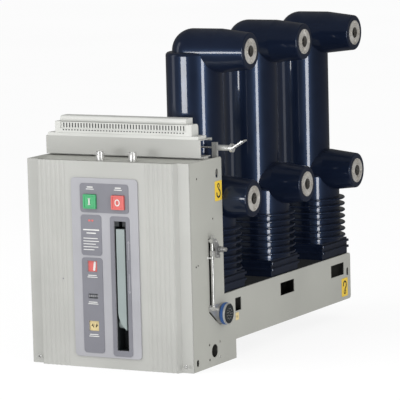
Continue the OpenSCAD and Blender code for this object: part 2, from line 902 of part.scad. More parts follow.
module interlock_posts() {
    color([0.78, 0.78, 0.78])
        for (x = post_xs)
            translate([housing_x + x, front_y + post_setback, housing_h - housing_drop]) {
                cylinder(h = post_h, d = post_d - 3);
                cylinder(h = 3, d = post_d + 3);
                translate([0, 0, post_h - post_head_h]) cylinder(h = post_head_h, d = post_d);
            }
}

// Upright strap on the inside of the right side plate
module interlock_bracket() {
    x1 = housing_w / 2 - plate_t;
    color([0.72, 0.72, 0.70]) difference() {
        housing_box([x1 - bracket_w, x1], [bracket_y - 3, bracket_y + 3],
                    [bracket_top - bracket_h, bracket_top]);
        translate([housing_x + x1, front_y + bracket_y, shaft_z - housing_drop])
            rotate([0, 90, 0])
                cylinder(h = 4 * bracket_w, d = thin_rod_d, center = true);
    }
}

// Thin rod through the bracket, and the thick shaft outside it
module interlock_shaft() {
    x1 = housing_w / 2 - plate_t;
    color([0.72, 0.73, 0.74])
        translate([housing_x + x1, front_y + bracket_y, shaft_z - housing_drop])
            rotate([0, 90, 0]) {
                translate([0, 0, -thin_rod_l]) cylinder(h = thin_rod_l, d = thin_rod_d);
                cylinder(h = interlock_l, d = interlock_d);
                translate([0, 0, interlock_l]) cylinder(h = collar_t, d = interlock_d + 7);
            }
}

// Flat blade turned up from the end of the shaft
module interlock_blade() {
    x1 = housing_w / 2 - plate_t + interlock_l + collar_t;
    color([0.72, 0.73, 0.74])
        translate([housing_x + x1, front_y + bracket_y, shaft_z - housing_drop]) difference() {
            rotate([0, -blade_angle, 0]) translate([-blade_t, -blade_w / 2, -blade_t / 2])
                cube([blade_l + blade_t, blade_w, blade_t]);
            translate([-2 * blade_l, -blade_w, -blade_l])
                cube([2 * blade_l, 2 * blade_w, 2 * blade_l]);
        }
}

// --- Side linkage ----------------------------------------------------------------

side_x = housing_x + housing_w / 2;

// Rod down the outside of the housing, with its adjusting nut and two end pins
module link_rod() {
    nut_h = 12;
    nut_z = rod_top - 22 - nut_h;
    boss_x = connector_flange_t - rod_out;
    color([0.80, 0.80, 0.78]) {
        translate([side_x + rod_out, front_y + rod_y, -housing_drop]) {
            translate([0, 0, rod_foot]) cylinder(h = rod_l, d = rod_d);
            translate([0, 0, nut_z]) cylinder(h = nut_h, d = rod_d + 4, $fn = 6);
        }
        for (z = [rod_foot, rod_top])
            translate([side_x + rod_out, front_y + rod_y, z - housing_drop])
                rotate([0, 90, 0]) {
                    translate([0, 0, boss_x]) cylinder(h = rod_boss - boss_x, d = link_pin_d + 4);
                    translate([0, 0, -rod_out]) cylinder(h = link_pin_out, d = link_pin_d);
                }
    }
}

// Crank between the rod and its hub, with a tail bolt and the stub shaft pointing out
module link_crank() {
    dy = rod_y - crank_y;
    dz = rod_top - crank_z;
    tail_l = sqrt(crank_tail[0] * crank_tail[0] + crank_tail[1] * crank_tail[1]);
    plate_x = rod_out + rod_boss + seat_gap;
    color([0.66, 0.66, 0.65])
        translate([side_x, front_y + crank_y, crank_z - housing_drop]) {
            translate([plate_x, 0, 0]) rotate([90, 0, 90]) linear_extrude(crank_t) difference() {
                union() {
                    rotate(atan2(dz, dy)) teardrop_2d(crank_r, crank_r - 2, sqrt(dy * dy + dz * dz));
                    rotate(atan2(crank_tail[1], crank_tail[0]))
                        teardrop_2d(crank_r, crank_tail_r, tail_l);
                }
                translate([dy, dz]) circle(d = link_pin_d);
            }
            translate([plate_x, crank_tail[0], crank_tail[1]]) rotate([0, 90, 0])
                cylinder(h = crank_t + crank_bolt_h, d = crank_bolt_d, $fn = 6);
            rotate([0, 90, 0]) {
                cylinder(h = crank_hub_out, d = crank_hub_d);
                cylinder(h = crank_washer_t, d = crank_hub_d + 9);
                for (x = crank_rings)
                    translate([0, 0, x]) cylinder(h = crank_ring_t, d = crank_hub_d + 5);
            }
        }
}

// Cast flange of the connector, with an ear round the foot of the rod
module connector_flange() {
    dy = rod_y - connector_y;
    dz = rod_foot - connector_z;
    reach = sqrt(dy * dy + dz * dz);
    color([0.70, 0.70, 0.69])
        on_side(side_x, connector_flange_t) translate([connector_y, connector_z])
            rotate(atan2(dz, dy)) difference() {
                teardrop_2d(connector_flange_r, connector_ear_r, reach);
                circle(d = insert_d);
                translate([reach, 0]) circle(d = link_pin_d);
            }
}

// Round shell of the connector, with two rolled rims
module connector_shell() {
    shell_l = connector_out - connector_flange_t;
    color([0.75, 0.75, 0.74])
        translate([side_x + connector_flange_t, front_y + connector_y,
                   connector_z - housing_drop]) rotate([0, 90, 0]) difference() {
            union() {
                cylinder(h = shell_l, d = shell_d);
                for (k = [0, 1])
                    translate([0, 0, 1.6 * rim_w * k]) cylinder(h = rim_w, d = connector_d + 3 - k);
            }
            translate([0, 0, -eps])
                cylinder(h = shell_l + 1, d = insert_d);
        }
}

// Insulating insert with its pins, seated on the side plate
module connector_insert() {
    face = connector_out - insert_sunk;
    color([0.05, 0.05, 0.05])
        translate([side_x, front_y + connector_y, connector_z - housing_drop])
            rotate([0, 90, 0]) {
                cylinder(h = face, d = insert_d - seat_gap);
                for (k = [0:contact_pin_count - 1])
                    rotate(k * 360 / contact_pin_count)
                        translate([contact_pin_pcd / 2, 0, face - eps])
                            cylinder(h = contact_pin_h, d = contact_pin_d);
            }
}

chassis_side_right();
chassis_side_left();
chassis_deck();
chassis_end_plate();
chassis_front_plate();
mounting_bars();
pole_1();
pole_2();
pole_3();
contacts_1();
contacts_2();
contacts_3();
side_plate_right();
side_plate_left();
housing_roof();
housing_floor();
housing_rear_wall();
front_cover();
fascia_plate();
button_field();
text_field();
indicator_field();
lever_field();
close_button();
open_button();
position_indicator();
operation_counter();
spring_indicator();
lever_tray();
lever_pin();
charging_lever();
wiring_duct();
terminal_base();
terminal_strip();
terminal_cover_bar();
terminal_end_stops();
interlock_posts();
interlock_bracket();
interlock_shaft();
interlock_blade();
link_rod();
link_crank();
connector_flange();
connector_shell();
connector_insert();
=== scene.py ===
# %% [markdown]
# # An indoor vacuum circuit breaker
# This lesson dresses a finished engineering model in Blender. The model arrives as a frame: every sheet,
# casting and lever already stands at its true place, in metres. The lesson adds the finishes and the small
# parts that an engineer leaves out: screws, printed marks, labels, sleeves and connector pins. The first cell
# loads the frame and keeps its outer box, so that the last cell can measure how far the dressed model grows
# beyond it.

# %% Load the frame
import json
import math

import bmesh
import bpy
from mathutils import Matrix, Vector


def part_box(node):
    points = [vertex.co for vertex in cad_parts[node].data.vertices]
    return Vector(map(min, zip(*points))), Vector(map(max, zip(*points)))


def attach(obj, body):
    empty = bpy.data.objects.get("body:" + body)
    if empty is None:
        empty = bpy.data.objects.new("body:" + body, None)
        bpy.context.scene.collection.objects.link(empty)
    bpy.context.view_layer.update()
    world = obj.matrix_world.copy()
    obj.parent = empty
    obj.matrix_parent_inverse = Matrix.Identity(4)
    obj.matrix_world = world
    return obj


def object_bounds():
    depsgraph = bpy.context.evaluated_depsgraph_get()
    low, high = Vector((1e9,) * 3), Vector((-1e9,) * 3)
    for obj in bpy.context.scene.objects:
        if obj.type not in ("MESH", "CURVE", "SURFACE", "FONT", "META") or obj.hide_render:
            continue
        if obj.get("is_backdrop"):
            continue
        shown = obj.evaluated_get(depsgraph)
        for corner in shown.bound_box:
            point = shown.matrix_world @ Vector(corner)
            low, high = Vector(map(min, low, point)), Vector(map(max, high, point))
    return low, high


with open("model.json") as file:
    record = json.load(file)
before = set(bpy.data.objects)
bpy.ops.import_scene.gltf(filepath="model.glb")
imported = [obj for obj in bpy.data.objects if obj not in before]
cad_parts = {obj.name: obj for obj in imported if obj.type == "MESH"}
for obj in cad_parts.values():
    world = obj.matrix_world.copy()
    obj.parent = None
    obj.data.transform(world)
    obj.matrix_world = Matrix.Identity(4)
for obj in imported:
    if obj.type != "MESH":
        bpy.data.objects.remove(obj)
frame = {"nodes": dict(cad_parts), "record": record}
cad_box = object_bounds()
nodes = frame["nodes"]
ROOT = "breaker"
print("pieces in the frame:", len(nodes))

# %% [markdown]
# ## Places to measure from
# Most spots are worked out from the box of the piece that carries them, so the marks follow their plates
# and buttons. Screws, labels and the sticker stand at measured distances from a corner of their sheet.

# %% Measure the main pieces
MM = 0.001
cover_lo, cover_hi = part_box("front_cover")
panel_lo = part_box("fascia_plate")[0]
deck_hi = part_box("chassis_deck")[1]
side_lo, side_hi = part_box("side_plate_right")
housing_mid_x = (cover_lo.x + cover_hi.x) / 2
housing_foot = cover_lo.z
contact_names = ["contacts_1", "contacts_2", "contacts_3"]
pole_ys = []
for name in contact_names:
    lo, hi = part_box(name)
    pole_ys.append((lo.y + hi.y) / 2)
contact_lo, contact_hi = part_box("contacts_2")
contact_r = (contact_hi.y - contact_lo.y) / 2
bore_r = 13 * MM
terminal_zs = [contact_lo.z + contact_r, contact_hi.z - contact_r]
pitch = pole_ys[1] - pole_ys[0]
print("poles stand at y =", [round(y, 3) for y in pole_ys], "and the terminals at z =",
      [round(z, 3) for z in terminal_zs])

# %% [markdown]
# ## Building materials from nodes
# A finish is a small network: a pattern, a mapping from the pattern to a colour or a roughness, and the
# surface shader. Every finish below needs the same few links, so they are written once as helpers.
# Patterns are measured in the piece's own metres, which keeps their grain the same size on a screw and on
# a housing.

# %% Helpers for materials
def new_finish(name):
    """An empty material with its node tree and surface shader."""
    material = bpy.data.materials.new(name)
    material.use_nodes = True
    tree = material.node_tree
    return material, tree, tree.nodes["Principled BSDF"]


def place(tree):
    """The point on the piece, in metres."""
    return tree.nodes.new("ShaderNodeTexCoord").outputs["Object"]


def noise(tree, scale, detail=3.0, stretch=None):
    """A cloudy pattern with so many blots to the metre, stretched if asked."""
    node = tree.nodes.new("ShaderNodeTexNoise")
    node.inputs["Scale"].default_value = scale
    node.inputs["Detail"].default_value = detail
    source = place(tree)
    if stretch:
        mapping = tree.nodes.new("ShaderNodeMapping")
        mapping.inputs["Scale"].default_value = stretch
        tree.links.new(source, mapping.inputs["Vector"])
        source = mapping.outputs["Vector"]
    tree.links.new(source, node.inputs["Vector"])
    return node.outputs["Fac"]


def remap(tree, value, low, high, start=0.3, end=0.7):
    """Stretches a pattern to run from low to high."""
    node = tree.nodes.new("ShaderNodeMapRange")
    node.inputs["From Min"].default_value = start
    node.inputs["From Max"].default_value = end
    node.inputs["To Min"].default_value = low
    node.inputs["To Max"].default_value = high
    tree.links.new(value, node.inputs["Value"])
    return node.outputs["Result"]


def mix_colours(tree, factor, first, second):
    """Blends two colours, or a pattern's colour and another, by a factor."""
    node = tree.nodes.new("ShaderNodeMix")
    node.data_type = "RGBA"
    tree.links.new(factor, node.inputs["Factor"])
    for value, socket in ((first, node.inputs["A"]), (second, node.inputs["B"])):
        if isinstance(value, tuple):
            socket.default_value = (*value, 1.0)
        else:
            tree.links.new(value, socket)
    return node.outputs["Result"]


def math_node(tree, operation, first, second=None):
    """One sum on one or two values, each a number or a link."""
    node = tree.nodes.new("ShaderNodeMath")
    node.operation = operation
    for value, socket in ((first, node.inputs[0]), (second, node.inputs[1])):
        if value is None:
            continue
        if isinstance(value, (int, float)):
            socket.default_value = value
        else:
            tree.links.new(value, socket)
    return node.outputs[0]


def relief(tree, shader, height, strength, depth, edge=None):
    """Turns a pattern into a bump, on top of softly rounded edges if asked."""
    node = tree.nodes.new("ShaderNodeBump")
    node.inputs["Strength"].default_value = strength
    node.inputs["Distance"].default_value = depth
    tree.links.new(height, node.inputs["Height"])
    if edge:
        rounded = tree.nodes.new("ShaderNodeBevel")
        rounded.samples = 4
        rounded.inputs["Radius"].default_value = edge
        tree.links.new(rounded.outputs["Normal"], node.inputs["Normal"])
    tree.links.new(node.outputs["Normal"], shader.inputs["Normal"])


def upward(tree, start, end):
    """How far a surface faces up, from 0 to 1, which is where dust settles."""
    geometry = tree.nodes.new("ShaderNodeNewGeometry")
    parts = tree.nodes.new("ShaderNodeSeparateXYZ")
    tree.links.new(geometry.outputs["Normal"], parts.inputs["Vector"])
    return remap(tree, parts.outputs["Z"], 0.0, 1.0, start, end)


print("helpers ready")

# %% [markdown]
# ## Powder-coated sheet steel
# The housing, the chassis and the wiring duct are bent sheets with a baked powder coat. Up close such a
# coat has a fine orange-peel skin, and its edges are never knife-sharp. A fine noise gives the skin, a
# slow one shifts the tone by a few per cent, and a bevel in the shader rounds the edges so that they
# catch the light. Inside, the sheet boxes are dark: the drive that fills them isn't modelled, so the
# paint stands in for its shade.

# %% Powder coat
def within(tree, low, high):
    """1 inside a box given in metres and 0 outside it."""
    parts = tree.nodes.new("ShaderNodeSeparateXYZ")
    tree.links.new(place(tree), parts.inputs["Vector"])
    result = None
    for axis, lo, hi in zip("XYZ", low, high):
        over = math_node(tree, "GREATER_THAN", parts.outputs[axis], lo)
        under = math_node(tree, "LESS_THAN", parts.outputs[axis], hi)
        both = math_node(tree, "MULTIPLY", over, under)
        result = both if result is None else math_node(tree, "MULTIPLY", result, both)
    return result


def powder_coat(name, colour, roughness):
    material, tree, shader = new_finish(name)
    tone = remap(tree, noise(tree, 5.0, 4.0), 0.0, 1.0)
    darker = tuple(c * 0.93 for c in colour)
    lighter = tuple(min(1.0, c * 1.05) for c in colour)
    body = mix_colours(tree, tone, darker, lighter)
    for low, high in inner_boxes:
        body = mix_colours(tree, within(tree, low, high), body, tuple(c * 0.10 for c in colour))
    dust = math_node(tree, "MULTIPLY", upward(tree, 0.7, 1.0), 0.25)
    tree.links.new(mix_colours(tree, dust, body, tuple(c * 0.9 + 0.04 for c in colour)),
                   shader.inputs["Base Color"])
    tree.links.new(remap(tree, noise(tree, 40.0), roughness - 0.05, roughness + 0.07),
                   shader.inputs["Roughness"])
    relief(tree, shader, noise(tree, 650.0, 2.0), 0.12, 0.0004, edge=0.0012)
    return material


chassis_lo, chassis_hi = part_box("chassis_side_right")
wall = 1.5 * MM
inner_boxes = (
    ((-chassis_hi.x + wall, chassis_lo.y - 10 * MM, chassis_lo.z - 10 * MM),
     (chassis_hi.x - wall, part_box("chassis_end_plate")[0].y + wall, deck_hi.z - 1 * MM)),
    ((cover_lo.x, panel_lo.y + 20 * MM, housing_foot + 2 * MM),
     (side_hi.x - wall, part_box("housing_rear_wall")[1].y - wall, side_hi.z - 2 * MM)),
)
finishes = {
    "chassis_paint": powder_coat("chassis_paint", (0.360, 0.362, 0.330), 0.42),
    # The deck's near-black coat is painted shade: the deck lies in shade, so its paint is made far darker
    # than the other sheets to show it.
    "deck_paint": powder_coat("deck_paint", (0.022, 0.024, 0.024), 0.60),
    "cover_paint": powder_coat("cover_paint", (0.388, 0.390, 0.369), 0.40),
}
print("coats:", sorted(finishes))

# %% [markdown]
# ## Cast epoxy
# The poles are moulded in epoxy resin, dyed a navy so dark that only its highlights look blue. The mould
# leaves a gloss with a faint waviness. A clear coat gives the sharp gleam, a rougher blue-tinted base
# under it gives the soft glow beside the gleam, a slow bump gives the waves, and the upward faces hold a
# little dust.

# %% Epoxy
def epoxy():
    material, tree, shader = new_finish("epoxy")
    tone = remap(tree, noise(tree, 9.0), 0.0, 1.0)
    body = mix_colours(tree, tone, (0.0030, 0.0052, 0.0140), (0.0052, 0.0085, 0.0205))
    dust = math_node(tree, "MULTIPLY", upward(tree, 0.55, 1.0), remap(tree, noise(tree, 60.0), 0.02, 0.10))
    tree.links.new(mix_colours(tree, dust, body, (0.10, 0.11, 0.13)), shader.inputs["Base Color"])
    tree.links.new(remap(tree, noise(tree, 25.0), 0.30, 0.42), shader.inputs["Roughness"])
    shader.inputs["Specular IOR Level"].default_value = 0.58
    shader.inputs["Specular Tint"].default_value = (0.32, 0.52, 1.0, 1.0)
    shader.inputs["Coat Weight"].default_value = 0.75
    shader.inputs["Coat IOR"].default_value = 1.6
    shader.inputs["Coat Roughness"].default_value = 0.06
    relief(tree, shader, noise(tree, 14.0, 1.0), 0.10, 0.002, edge=0.001)
    return material


finishes["epoxy"] = epoxy()
print("epoxy is", round(terminal_zs[1] - terminal_zs[0], 3), "m tall between its two terminals")

# %% [markdown]
# ## Silvered contact faces
# Each terminal ends in a copper piece that is turned on a lathe and silver plated. The lathe leaves fine
# rings round the middle, and those rings draw the fan-shaped gleams that such faces show. The rings are a
# wave over the distance from the terminal's own axis. One material serves all the contacts: the distance
# along the row is wrapped at the pole pitch, and the height is taken from the nearer terminal.

# %% Silver
def silver():
    material, tree, shader = new_finish("contact_silver")
    parts = tree.nodes.new("ShaderNodeSeparateXYZ")
    tree.links.new(place(tree), parts.inputs["Vector"])
    wrap = tree.nodes.new("ShaderNodeMath")
    wrap.operation = "WRAP"
    tree.links.new(parts.outputs["Y"], wrap.inputs[0])
    wrap.inputs[1].default_value = pole_ys[1] + pitch / 2
    wrap.inputs[2].default_value = pole_ys[1] - pitch / 2
    across = math_node(tree, "SUBTRACT", wrap.outputs[0], pole_ys[1])
    heights = [math_node(tree, "ABSOLUTE", math_node(tree, "SUBTRACT", parts.outputs["Z"], z))
               for z in terminal_zs]
    up = math_node(tree, "MINIMUM", *heights)
    square = math_node(tree, "ADD", math_node(tree, "POWER", across, 2.0), math_node(tree, "POWER", up, 2.0))
    radius = math_node(tree, "SQRT", square)
    ring_pitch = 0.9 * MM
    rings = math_node(tree, "SINE", math_node(tree, "MULTIPLY", radius, 2 * math.pi / ring_pitch))
    stain = remap(tree, noise(tree, 45.0, 4.0), 0.0, 1.0)
    plated = mix_colours(tree, stain, (0.78, 0.76, 0.72), (0.50, 0.47, 0.42))
    # Inside the bore the colour turns nearly black: painted shade for the deep recess, not the silver's own
    # colour.
    outside = remap(tree, radius, 0.0, 1.0, bore_r - 0.2 * MM, bore_r + 0.4 * MM)
    tree.links.new(mix_colours(tree, outside, (0.030, 0.028, 0.026), plated), shader.inputs["Base Color"])
    shader.inputs["Metallic"].default_value = 0.55
    tree.links.new(remap(tree, noise(tree, 120.0), 0.25, 0.42), shader.inputs["Roughness"])
    relief(tree, shader, rings, 0.35, 0.0002, edge=0.0008)
    return material


finishes["contact_silver"] = silver()
faces = len(terminal_zs) * len(pole_ys)
print("lathe rings run round", faces, "faces of radius", round(contact_r / MM, 1), "mm")

# %% [markdown]
# ## Zinc plate and cast alloy
# The linkage, the bolts and the interlock are zinc plated: a bright grey metal with a clouded skin. The
# crank is a darker steel, and the connector's flange and shell are cast, so their skin is coarser. All
# three are a metal with a noisy roughness; only the grain and the tone differ, so one function makes them
# all.

# %% Bare metals
def bare_metal(name, colour, roughness, grain, depth):
    material, tree, shader = new_finish(name)
    cloud = remap(tree, noise(tree, 30.0, 4.0), 0.0, 1.0)
    tree.links.new(mix_colours(tree, cloud, tuple(c * 0.82 for c in colour), colour),
                   shader.inputs["Base Color"])
    shader.inputs["Metallic"].default_value = 0.75
    tree.links.new(remap(tree, noise(tree, 90.0), roughness - 0.08, roughness + 0.10),
                   shader.inputs["Roughness"])
    relief(tree, shader, noise(tree, grain, 3.0), 0.25, depth, edge=0.0006)
    return material


finishes["zinc_steel"] = bare_metal("zinc_steel", (0.80, 0.80, 0.78), 0.32, 500.0, 0.0002)
finishes["dark_steel"] = bare_metal("dark_steel", (0.50, 0.50, 0.50), 0.40, 420.0, 0.0003)
finishes["cast_alloy"] = bare_metal("cast_alloy", (0.62, 0.62, 0.61), 0.38, 260.0, 0.0005)
print("metals ready")

# %% [markdown]
# ## Moulded plastics
# The operator panel, its fields, the buttons and the terminal strip are moulded. A spark-eroded mould
# prints a fine, even grain into the plastic, coarser on the panel and nearly polished on the buttons. A
# cell pattern is a fair copy of that grain, and a slow noise keeps the colour from looking computed.

# %% Plastics
def moulded(name, colour, roughness, grain=900.0, depth=0.0002):
    material, tree, shader = new_finish(name)
    tone = remap(tree, noise(tree, 12.0), 0.0, 1.0)
    tree.links.new(mix_colours(tree, tone, tuple(c * 0.94 for c in colour),
                               tuple(min(1.0, c * 1.04) for c in colour)), shader.inputs["Base Color"])
    tree.links.new(remap(tree, noise(tree, 70.0), roughness - 0.05, roughness + 0.05),
                   shader.inputs["Roughness"])
    cells = tree.nodes.new("ShaderNodeTexVoronoi")
    cells.inputs["Scale"].default_value = grain
    tree.links.new(place(tree), cells.inputs["Vector"])
    relief(tree, shader, cells.outputs["Distance"], 0.15, depth, edge=0.0005)
    return material


for name, colour, roughness in (
    ("panel_plastic", (0.330, 0.330, 0.352), 0.45),
    ("field_plastic", (0.175, 0.176, 0.200), 0.45),
    ("green_plastic", (0.06, 0.36, 0.15), 0.35),
    ("red_plastic", (0.60, 0.125, 0.115), 0.35),
    ("black_plastic", (0.020, 0.024, 0.026), 0.40),
    ("cream_plastic", (0.62, 0.50, 0.25), 0.45),
    ("terminal_plastic", (0.53, 0.535, 0.51), 0.38),
    ("lever_plastic", (0.250, 0.292, 0.288), 0.42),
    ("white_print", (0.66, 0.66, 0.64), 0.50),
    ("dark_print", (0.030, 0.030, 0.032), 0.50),
    ("yellow_label", (0.72, 0.50, 0.05), 0.45),
    ("blue_plastic", (0.03, 0.10, 0.30), 0.35),
):
    finishes[name] = moulded(name, colour, roughness)
print("plastics ready, finishes in all:", len(finishes))

# %% [markdown]
# ## Dressing the frame
# The record names a material slot for each piece. Giving the finish through that list means that no piece
# is forgotten, and that a piece added to the engineering model later is dressed as well.

# %% Give each piece its finish
for row in frame["record"]["subparts"]:
    piece = nodes[row["node"]]
    piece.data.materials.clear()
    piece.data.materials.append(finishes[row["material_slot"]])

# %% [markdown]
# ## Helpers for the small parts
# Most of the missing details are of two kinds. Labels, symbols and brackets are flat shapes with a
# thickness: an outline drawn in a plane and pushed out of it. Screws, washers and rings are turned: a
# profile swept round an axis. Two helpers cover both, and each takes a function or an axis that says
# where the piece stands.

# %% Helper: a flat piece from outlines
def add_piece(name, bm, finish, body):
    """Turns a finished bmesh into an object that rides on a body."""
    bmesh.ops.recalc_face_normals(bm, faces=bm.faces)
    mesh = bpy.data.meshes.new(name)
    bm.to_mesh(mesh)
    bm.free()
    piece = bpy.data.objects.new(name, mesh)
    bpy.context.collection.objects.link(piece)
    mesh.materials.append(finishes[finish])
    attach(piece, body)
    return piece


def flat_piece(name, outlines, thickness, place_at, finish, body=ROOT, bevel=0.0):
    """A plate for each outline; place_at turns (across, up, out) into a point."""
    bm = bmesh.new()
    for outline in outlines:
        front = [bm.verts.new(place_at(u, v, thickness)) for u, v in outline]
        back = [bm.verts.new(place_at(u, v, 0.0)) for u, v in outline]
        bm.faces.new(front)
        bm.faces.new(list(reversed(back)))
        for k in range(len(outline)):
            n = (k + 1) % len(outline)
            bm.faces.new((front[k], back[k], back[n], front[n]))
    piece = add_piece(name, bm, finish, body)
    if bevel:
        soft = piece.modifiers.new("soft_edges", "BEVEL")
        soft.width = bevel
        soft.segments = 2
        soft.limit_method = "ANGLE"
    return piece


print("flat pieces are ready, resting on body", ROOT, "unless told otherwise")

# %% [markdown]
# ## Turned parts
# A screw head or a ring could be cut from a cylinder with booleans, but a lathe makes it in one pass: the
# outline of half a section is swept round the axis. The helper joins one ring of points to the next, and can
# step every second point in and out, which gives a knurl.

# %% Helper: a turned piece from a profile
def turned_piece(name, profile, origin, axis, finish, body=ROOT, segments=32, knurl=0.0):
    """Sweeps (radius, height) pairs round an axis; a radius of 0 closes the end."""
    axis = Vector(axis).normalized()
    side = axis.orthogonal().normalized()
    other = axis.cross(side)
    bm = bmesh.new()
    rings = []
    for radius, height in profile:
        if radius == 0:
            rings.append([bm.verts.new(origin + axis * height)])
            continue
        ring = []
        for k in range(segments):
            angle = 2 * math.pi * k / segments
            r = radius + (knurl if k % 2 else -knurl)
            ring.append(bm.verts.new(origin + axis * height
                                     + side * (r * math.cos(angle)) + other * (r * math.sin(angle))))
        rings.append(ring)
    for low, high in zip(rings, rings[1:]):
        for k in range(segments):
            n = (k + 1) % segments
            corners = [low[k % len(low)], low[n % len(low)], high[n % len(high)], high[k % len(high)]]
            unique = list(dict.fromkeys(corners))
            if len(unique) > 2:
                bm.faces.new(unique)
    return add_piece(name, bm, finish, body)


print("turned pieces are ready")

# %% [markdown]
# ## Outlines
# Printed signs are made of straight bars, round corners and pen strokes. Drawing each outline as a list of
# points keeps the shapes in one place, and the stroke helper gives any line a width.

# %% Helper: outlines
def rectangle(u, v, width, height):
    """A rectangle by its middle."""
    return [(u - width / 2, v - height / 2), (u + width / 2, v - height / 2),
            (u + width / 2, v + height / 2), (u - width / 2, v + height / 2)]


def rounded_rectangle(u, v, width, height, radius, steps=5):
    """A rectangle with round corners, by its middle."""
    points = []
    for corner, (su, sv) in enumerate(((1, 1), (-1, 1), (-1, -1), (1, -1))):
        cu, cv = u + su * (width / 2 - radius), v + sv * (height / 2 - radius)
        for k in range(steps + 1):
            angle = math.pi / 2 * (corner + k / steps)
            points.append((cu + radius * math.cos(angle), cv + radius * math.sin(angle)))
    return points


def stroke(points, width):
    """The outline of a pen line through some points."""
    left, right = [], []
    for k, (u, v) in enumerate(points):
        a = points[max(k - 1, 0)]
        b = points[min(k + 1, len(points) - 1)]
        du, dv = b[0] - a[0], b[1] - a[1]
        length = math.hypot(du, dv)
        nu, nv = -dv / length * width / 2, du / length * width / 2
        left.append((u + nu, v + nv))
        right.append((u - nu, v - nv))
    return left + right[::-1]


def arc(u, v, radius_u, radius_v, start, end, steps=20):
    """Points along part of an ellipse, in degrees."""
    return [(u + radius_u * math.cos(math.radians(start + (end - start) * k / steps)),
             v + radius_v * math.sin(math.radians(start + (end - start) * k / steps)))
            for k in range(steps + 1)]


print("outline helpers ready")

# %% [markdown]
# ## Marks on the buttons and the panel
# A closing button carries a bar and an opening button a ring, the two signs that are the same in every
# country. On the real panel they are pad printed, so here they are thin plates that ride on the buttons
# and sink with them. They stand only a hair proud, because the buttons are the foremost faces of the
# breaker. The captions above them are plain pale bars: the layout matters, not the words.

# %% Marks on the buttons
def on_front(face_y, middle_x, middle_z):
    """A place on a face that looks to the front, in millimetres from its middle."""
    return lambda u, v, out: Vector((middle_x + u * MM, face_y - out * MM, middle_z + v * MM))


def front_of(node):
    """The front face of a piece, ready to be drawn on."""
    lo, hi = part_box(node)
    return on_front(lo.y, (lo.x + hi.x) / 2, (lo.z + hi.z) / 2)


PRINT = 0.3
BUTTON_PRINT = 0.02
bar_sign = [rectangle(0, 0, 3.2, 13.0), rectangle(0, 6.6, 6.4, 1.6), rectangle(0, -6.6, 6.4, 1.6)]
ring_sign = [stroke(arc(0, 0, 5.4, 6.6, start, start + 180), 2.3) for start in (0, 180)]
flat_piece("close_mark", bar_sign, BUTTON_PRINT, front_of("close_button"), "white_print", "close_button")
flat_piece("open_mark", ring_sign, BUTTON_PRINT, front_of("open_button"), "white_print", "open_button")
field_lo, field_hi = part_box("button_field")
field_x, field_z = (field_lo.x + field_hi.x) / 2, (field_lo.z + field_hi.z) / 2
captions = []
for name in ("close_button", "open_button"):
    lo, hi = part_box(name)
    u, v = ((lo.x + hi.x) / 2 - field_x) / MM, (hi.z - field_z) / MM + 9
    captions += [rectangle(u, v, 20, 1.8), rectangle(u, v + 4.5, 15, 2.4)]
flat_piece("button_captions", captions, PRINT, front_of("button_field"), "white_print")
print("buttons marked, captions:", len(captions))

# %% [markdown]
# ## Rows on the text field
# The field on the left holds a red mark and a few rows of small print. A text object would need words, so
# the rows are bars of different lengths. Their sizes are shares of the field's own, so they stay inside it.

# %% Printed rows on the text field
text_lo, text_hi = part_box("text_field")
text_w, text_h = (text_hi.x - text_lo.x) / MM, (text_hi.z - text_lo.z) / MM
rows = [rectangle(0, text_h * 0.13, text_w * 0.78, 2.6), rectangle(0, text_h * 0.05, text_w * 0.46, 2.4)]
for k, share in enumerate((0.70, 0.76, 0.60, 0.72, 0.52)):
    rows.append(rectangle(-text_w * (0.78 - share) / 2, text_h * (-0.08 - 0.07 * k), text_w * share, 1.7))
flat_piece("text_rows", rows, PRINT, front_of("text_field"), "white_print")
red_marks = [rounded_rectangle(-4, text_h * 0.36, 6, 4, 1.2), rounded_rectangle(4, text_h * 0.36, 5, 4, 1.2)]
flat_piece("text_red_mark", red_marks, PRINT, front_of("text_field"), "red_plastic")
print("rows on the text field:", len(rows))

# %% [markdown]
# ## Indicators
# Three small windows tell the state: a tilted bar on red for the switch position, a counter of the
# switching operations, and a spring sign for the drive. A counter is a row of number wheels behind a
# slot. Each sign sits on its own plate, and each window has a thin pale caption below it.

# %% Signs in the three windows
tilted_bar = [stroke([(2.4, -10.5), (5.2, 10.5)], 5.5)]
flat_piece("position_sign", tilted_bar, PRINT, front_of("position_indicator"), "white_print")
count_lo, count_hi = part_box("operation_counter")
count_w = (count_hi.x - count_lo.x) / MM
wheels = [rounded_rectangle(count_w * (0.18 * k - 0.36), 0, count_w * 0.13, 6.4, 0.8) for k in range(5)]
flat_piece("counter_wheels", wheels, PRINT, front_of("operation_counter"), "field_plastic")
ticks = [rectangle(count_w * (0.18 * k - 0.36), 0, 0.9, 4.2) for k in range(5)]
flat_piece("counter_digits", ticks, PRINT * 2, front_of("operation_counter"), "white_print")
coil = [(-9, 0), (-7, 0), (-5, 5), (-2.5, -5), (0, 5), (2.5, -5), (5, 5), (7, 0), (9, 0)]
flat_piece("spring_sign", [stroke(coil, 1.0)], PRINT, front_of("spring_indicator"), "dark_print")
window_lo, window_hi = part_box("indicator_field")
window_z = (window_lo.z + window_hi.z) / 2
captions = []
for name in ("position_indicator", "operation_counter", "spring_indicator"):
    lo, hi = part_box(name)
    v = (lo.z - window_z) / MM
    captions += [rectangle(0, v - 6, 22, 1.8), rectangle(0, v - 10, 26, 1.6)]
flat_piece("window_captions", captions, PRINT, front_of("indicator_field"), "white_print")
print("signs drawn, captions:", len(captions))

# %% [markdown]
# ## Marks beside the charging lever
# A lever that is pumped up and down has its travel printed next to the slot. Two lines with an arrow head
# each say it without a word.

